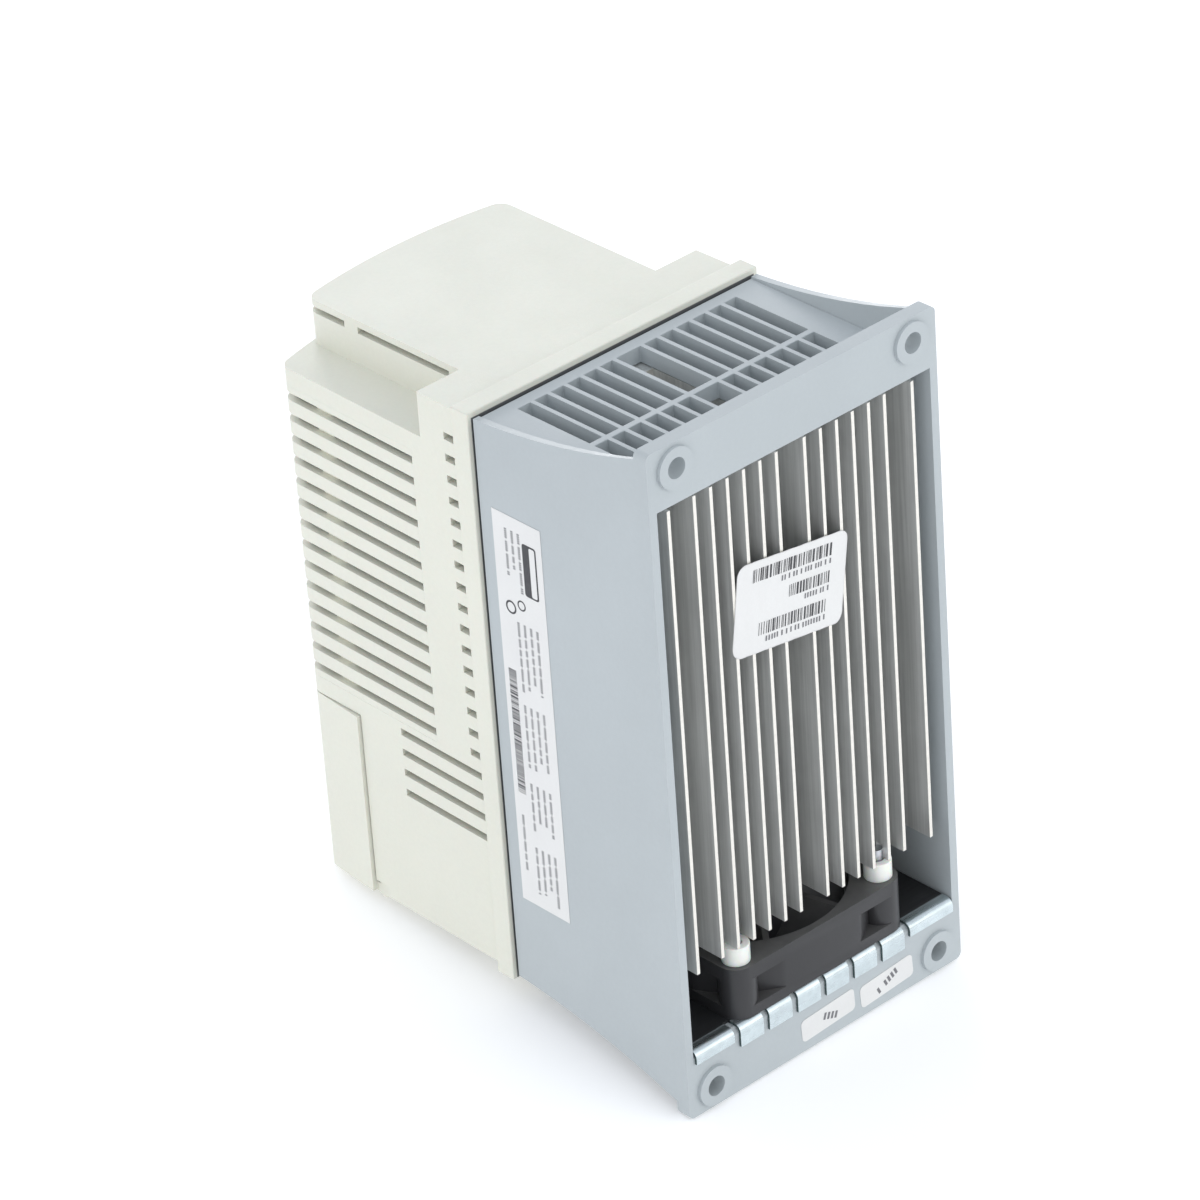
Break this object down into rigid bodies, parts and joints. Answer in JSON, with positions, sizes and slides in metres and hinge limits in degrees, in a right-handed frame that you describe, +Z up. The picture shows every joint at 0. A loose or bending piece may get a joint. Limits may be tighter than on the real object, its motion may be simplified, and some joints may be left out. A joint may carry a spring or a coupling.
{
  "type": "motor drive",
  "caption": "Wall-mounted motor drive: vented cover over a grey base with heat sink, cooling fan, keypad and terminal cover.",
  "frame": {"origin": "centre of the four mounting holes, in the plane of the panel that the pads touch", "axes": "+Y into the panel, +Z up, the operator faces the drive from -Y"},
  "size_m": [0.0978, 0.1462, 0.191],
  "materials": {
    "base_grey": "fine moulded grey",
    "cover_white": "fine moulded off-white",
    "fin_aluminium": "extruded, sawn tips",
    "fan_black": "moulded black",
    "nylon": "translucent white nylon",
    "zinc_sheet": "bright zinc plate",
    "screw_steel": "zinc plated",
    "board_green": "solder mask",
    "part_black": "moulded black",
    "pad_white": "silicone pad",
    "capacitor_sleeve": "shrink sleeve",
    "ferrite": "coated ferrite",
    "copper": "enamelled copper",
    "film_yellow": "resin case",
    "terminal_green": "moulded green",
    "terminal_grey": "moulded dark grey",
    "lead_red": "wire insulation",
    "brass": "turned",
    "ribbon_grey": "ribbon insulation",
    "display_black": "display face",
    "window_red": "tinted window",
    "led_lens": "light guides",
    "overlay_grey": "printed film",
    "key_grey": "moulded key",
    "key_green": "moulded key",
    "key_red": "moulded key",
    "label_white": "paper and film label"
  },
  "bodies": {
    "drive": {"base_housing": "base_grey", "top_wall": "base_grey", "bottom_wall": "base_grey", "duct_wall": "base_grey", "heat_sink": "fin_aluminium", "fan_frame": "fan_black", "fan_struts": "fan_black", "fan_spacers": "nylon", "fan_screws": "screw_steel", "fan_plate": "zinc_sheet", "front_cover": "cover_white", "cover_rim": "cover_white", "cover_grilles": "cover_white", "conduit_frame": "cover_white", "hinge_pins": "screw_steel", "conduit_plate": "zinc_sheet", "conduit_plate_screws": "screw_steel", "power_board": "board_green", "power_module": "part_black", "thermal_pad": "pad_white", "module_screws": "screw_steel", "heat_sink_screws": "screw_steel", "bus_capacitors": "capacitor_sleeve", "transformer": "ferrite", "choke_core": "ferrite", "choke_windings": "copper", "line_filter_capacitors": "film_yellow", "relay": "part_black", "power_terminal_block": "terminal_grey", "terminal_clamp_screws": "screw_steel", "fan_lead": "lead_red", "board_standoffs": "brass", "board_screws": "screw_steel", "control_board": "board_green", "processor": "part_black", "control_terminals": "terminal_green", "ribbon_cable": "ribbon_grey", "memory_socket": "part_black", "keypad_board": "board_green", "keypad_screws": "screw_steel", "key_switches": "part_black", "display_module": "display_black", "display_window": "window_red", "status_leds": "led_lens", "keypad_overlay": "overlay_grey", "rating_label": "label_white", "fin_label": "label_white", "plate_sticker_a": "label_white", "plate_sticker_b": "label_white"},
    "fan_rotor": {"fan_rotor": "fan_black"},
    "memory_module": {"memory_module": "part_black"},
    "terminal_cover": {"terminal_cover": "cover_white", "terminal_cover_screw": "screw_steel"},
    "key_run": {"key_run": "key_green"},
    "key_stop": {"key_stop": "key_red"},
    "key_direction": {"key_direction": "key_grey"},
    "key_mode": {"key_mode": "key_grey"},
    "key_up": {"key_up": "key_grey"},
    "key_down": {"key_down": "key_grey"}
  },
  "joints": [
    {"name": "fan_spin", "type": "hinge", "parent": "drive", "child": "fan_rotor", "pos_m": [0, -0.031, -0.0685], "axis": [0, 0, 1], "continuous": true},
    {"name": "terminal_cover_swing", "type": "hinge", "parent": "drive", "child": "terminal_cover", "pos_m": [0, -0.1166, -0.0793], "axis": [1, 0, 0], "range_deg": [0, 70]},
    {"name": "memory_pull", "type": "slide", "parent": "drive", "child": "memory_module", "axis": [0, -1, 0], "range_m": [0, 0.016]},
    {"name": "key_run_press", "type": "slide", "parent": "drive", "child": "key_run", "axis": [0, 1, 0], "range_m": [0, 0.001], "stiffness_N_per_m": 1200, "springref_m": -0.0004},
    {"name": "key_stop_press", "type": "slide", "parent": "drive", "child": "key_stop", "axis": [0, 1, 0], "range_m": [0, 0.001], "stiffness_N_per_m": 1200, "springref_m": -0.0004},
    {"name": "key_direction_press", "type": "slide", "parent": "drive", "child": "key_direction", "axis": [0, 1, 0], "range_m": [0, 0.001], "stiffness_N_per_m": 1200, "springref_m": -0.0004},
    {"name": "key_mode_press", "type": "slide", "parent": "drive", "child": "key_mode", "axis": [0, 1, 0], "range_m": [0, 0.001], "stiffness_N_per_m": 1200, "springref_m": -0.0004},
    {"name": "key_up_press", "type": "slide", "parent": "drive", "child": "key_up", "axis": [0, 1, 0], "range_m": [0, 0.001], "stiffness_N_per_m": 1200, "springref_m": -0.0004},
    {"name": "key_down_press", "type": "slide", "parent": "drive", "child": "key_down", "axis": [0, 1, 0], "range_m": [0, 0.001], "stiffness_N_per_m": 1200, "springref_m": -0.0004}
  ]
}
